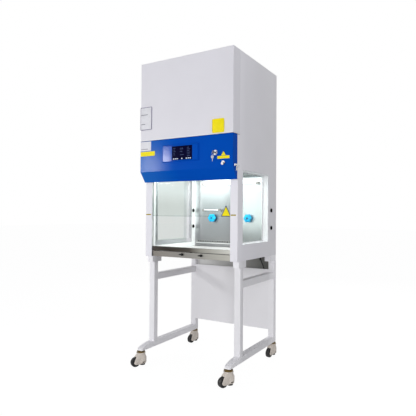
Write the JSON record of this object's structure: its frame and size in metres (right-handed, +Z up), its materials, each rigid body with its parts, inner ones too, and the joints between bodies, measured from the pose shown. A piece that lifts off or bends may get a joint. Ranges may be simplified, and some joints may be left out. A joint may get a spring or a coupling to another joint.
{
  "type": "biosafety cabinet",
  "caption": "Class II biosafety cabinet on a wheeled stand, with counterbalanced sash, hinged control hood, side windows, steel chamber and levelling casters.",
  "frame": {"origin": "on the floor, at the middle of the footprint's bounding box", "axes": "+Z up, the sash and hood face -Y, +X is the right-hand side seen from the front"},
  "size_m": [0.7122, 0.7367, 1.96],
  "materials": {
    "white_paint": "satin powder coat",
    "blue_paint": "gloss paint",
    "stainless": "brushed",
    "glass": "clear toughened glass",
    "galvanised": "dull zinc",
    "chrome": "bright",
    "aluminium": "anodised",
    "black_plastic": "satin",
    "white_plastic": "gloss",
    "cyan_plastic": "gloss",
    "blue_plastic": "gloss",
    "red_plastic": "gloss",
    "screen": "gloss",
    "cast_iron": "black primer",
    "filter_media": "pleated glass-fibre paper",
    "dark_paint": "matt",
    "brass": "dulled",
    "ivory_paint": "enamel on a die casting",
    "tyre": "hard nylon and rubber tread",
    "pad_rubber": "hard rubber",
    "cord_rubber": "rubber sheath"
  },
  "bodies": {
    "cabinet": {"side_left": "white_paint", "side_right": "white_paint", "liner": "stainless", "window_glass": "glass", "back_panel": "white_paint", "top_panel": "white_paint", "base_pan": "stainless", "front_lip": "stainless", "air_grilles": "stainless", "front_cover": "white_paint", "port_plugs": "black_plastic", "sash_rails": "aluminium", "blower_housing": "galvanised", "supply_filter": "filter_media", "exhaust_filter": "filter_media", "diffuser": "stainless", "lamp": "white_plastic", "uv_lamp": "white_plastic", "tap_bodies": "blue_plastic", "stand_left": "white_paint", "stand_right": "white_paint", "rear_beam": "dark_paint", "rear_panel": "white_paint", "brackets": "white_paint", "caster_stems": "brass", "cord_gland": "black_plastic", "cord_run": "cord_rubber", "cord_coil": "cord_rubber", "cord_plug": "cord_rubber"},
    "hood": {"hood_shell": "blue_paint", "display_bezel": "blue_plastic", "display_screen": "screen", "hood_fittings": "chrome"},
    "key": {"key": "chrome"},
    "panel_lock": {"panel_lock": "chrome"},
    "side_catch": {"side_catch": "aluminium"},
    "sash": {"sash_glass": "glass", "sash_trim": "aluminium"},
    "counterweights": {"counterweights": "cast_iron"},
    "pulley_shaft": {"pulley_shaft": "aluminium"},
    "work_tray": {"work_tray": "stainless"},
    "pan_catch_left": {"pan_catch_left": "black_plastic"},
    "pan_catch_right": {"pan_catch_right": "black_plastic"},
    "drain_lever": {"drain_lever": "red_plastic"},
    "impeller": {"impeller": "aluminium"},
    "tap_knob_left": {"tap_knob_left": "cyan_plastic"},
    "tap_knob_right": {"tap_knob_right": "cyan_plastic"},
    "caster_fl": {"housing_fl": "ivory_paint"},
    "wheel_fl": {"wheel_fl": "tyre"},
    "pad_fl": {"pad_fl": "pad_rubber"},
    "caster_fr": {"housing_fr": "ivory_paint"},
    "wheel_fr": {"wheel_fr": "tyre"},
    "pad_fr": {"pad_fr": "pad_rubber"},
    "caster_rl": {"housing_rl": "ivory_paint"},
    "wheel_rl": {"wheel_rl": "tyre"},
    "pad_rl": {"pad_rl": "pad_rubber"},
    "caster_rr": {"housing_rr": "ivory_paint"},
    "wheel_rr": {"wheel_rr": "tyre"},
    "pad_rr": {"pad_rr": "pad_rubber"}
  },
  "joints": [
    {"name": "hood_hinge", "type": "hinge", "parent": "cabinet", "child": "hood", "pos_m": [0, -0.297, 1.4434], "axis": [-1, 0, 0], "range_deg": [0, 70]},
    {"name": "key_turn", "type": "hinge", "parent": "hood", "child": "key", "pos_m": [0.2226, -0.301, 1.3406], "axis": [0, -1, 0], "range_deg": [0, 90]},
    {"name": "lock_turn", "type": "hinge", "parent": "hood", "child": "panel_lock", "pos_m": [0.2764, -0.301, 1.279], "axis": [0, -1, 0], "range_deg": [0, 90]},
    {"name": "side_catch_turn", "type": "hinge", "parent": "hood", "child": "side_catch", "pos_m": [0.345, -0.2605, 1.2665], "axis": [-1, 0, 0], "range_deg": [0, 22]},
    {"name": "sash_slide", "type": "slide", "parent": "cabinet", "child": "sash", "axis": [0, 0, 1], "range_m": [-0.196, 0.2]},
    {"name": "counterweight_slide", "type": "slide", "parent": "cabinet", "child": "counterweights", "axis": [0, 0, 1], "range_m": [-0.2005, 0.1965]},
    {"name": "pulley_turn", "type": "hinge", "parent": "cabinet", "child": "pulley_shaft", "pos_m": [0, -0.21025, 1.9], "axis": [1, 0, 0], "range_deg": [-810, 795]},
    {"name": "tray_lift", "type": "slide", "parent": "cabinet", "child": "work_tray", "axis": [0, 0, 1], "range_m": [0, 0.14]},
    {"name": "pan_catch_left_turn", "type": "hinge", "parent": "cabinet", "child": "pan_catch_left", "pos_m": [-0.054, -0.231, 0.724], "axis": [0, 1, 0], "range_deg": [0, 90]},
    {"name": "pan_catch_right_turn", "type": "hinge", "parent": "cabinet", "child": "pan_catch_right", "pos_m": [0.087, -0.231, 0.724], "axis": [0, 1, 0], "range_deg": [0, 90]},
    {"name": "drain_turn", "type": "hinge", "parent": "cabinet", "child": "drain_lever", "pos_m": [0.12, 0.148, 0.688], "axis": [0, 1, 0], "range_deg": [0, 90]},
    {"name": "impeller_spin", "type": "hinge", "parent": "cabinet", "child": "impeller", "pos_m": [0, 0.12, 1.56], "axis": [1, 0, 0], "continuous": true},
    {"name": "tap_left_turn", "type": "hinge", "parent": "cabinet", "child": "tap_knob_left", "pos_m": [-0.131, 0.2685, 0.952], "axis": [0, 1, 0], "range_deg": [0, 540]},
    {"name": "tap_right_turn", "type": "hinge", "parent": "cabinet", "child": "tap_knob_right", "pos_m": [0.161, 0.2685, 0.952], "axis": [0, 1, 0], "range_deg": [0, 540]},
    {"name": "swivel_fl", "type": "hinge", "parent": "cabinet", "child": "caster_fl", "pos_m": [-0.32, -0.303, 0.08], "axis": [0, 0, 1], "continuous": true},
    {"name": "roll_fl", "type": "hinge", "parent": "caster_fl", "child": "wheel_fl", "pos_m": [-0.33784, -0.33655, 0.03], "axis": [0.8829, -0.4695, 0], "continuous": true},
    {"name": "level_fl", "type": "slide", "parent": "caster_fl", "child": "pad_fl", "axis": [0, 0, -1], "range_m": [0, 0.008]},
    {"name": "swivel_fr", "type": "hinge", "parent": "cabinet", "child": "caster_fr", "pos_m": [0.32, -0.303, 0.08], "axis": [0, 0, 1], "continuous": true},
    {"name": "roll_fr", "type": "hinge", "parent": "caster_fr", "child": "wheel_fr", "pos_m": [0.30216, -0.33655, 0.03], "axis": [0.8829, -0.4695, 0], "continuous": true},
    {"name": "level_fr", "type": "slide", "parent": "caster_fr", "child": "pad_fr", "axis": [0, 0, -1], "range_m": [0, 0.008]},
    {"name": "swivel_rl", "type": "hinge", "parent": "cabinet", "child": "caster_rl", "pos_m": [-0.32, 0.333, 0.08], "axis": [0, 0, 1], "continuous": true},
    {"name": "roll_rl", "type": "hinge", "parent": "caster_rl", "child": "wheel_rl", "pos_m": [-0.32529, 0.29537, 0.03], "axis": [0.9903, -0.1392, 0], "continuous": true},
    {"name": "level_rl", "type": "slide", "parent": "caster_rl", "child": "pad_rl", "axis": [0, 0, -1], "range_m": [0, 0.008]},
    {"name": "swivel_rr", "type": "hinge", "parent": "cabinet", "child": "caster_rr", "pos_m": [0.32, 0.333, 0.08], "axis": [0, 0, 1], "continuous": true},
    {"name": "roll_rr", "type": "hinge", "parent": "caster_rr", "child": "wheel_rr", "pos_m": [0.31471, 0.29537, 0.03], "axis": [0.9903, -0.1392, 0], "continuous": true},
    {"name": "level_rr", "type": "slide", "parent": "caster_rr", "child": "pad_rr", "axis": [0, 0, -1], "range_m": [0, 0.008]}
  ],
  "couplings": [
    {"joint": "counterweight_slide", "follows": "sash_slide", "ratio": -1},
    {"joint": "pulley_turn", "follows": "sash_slide", "rad_per_m": -70.175}
  ]
}
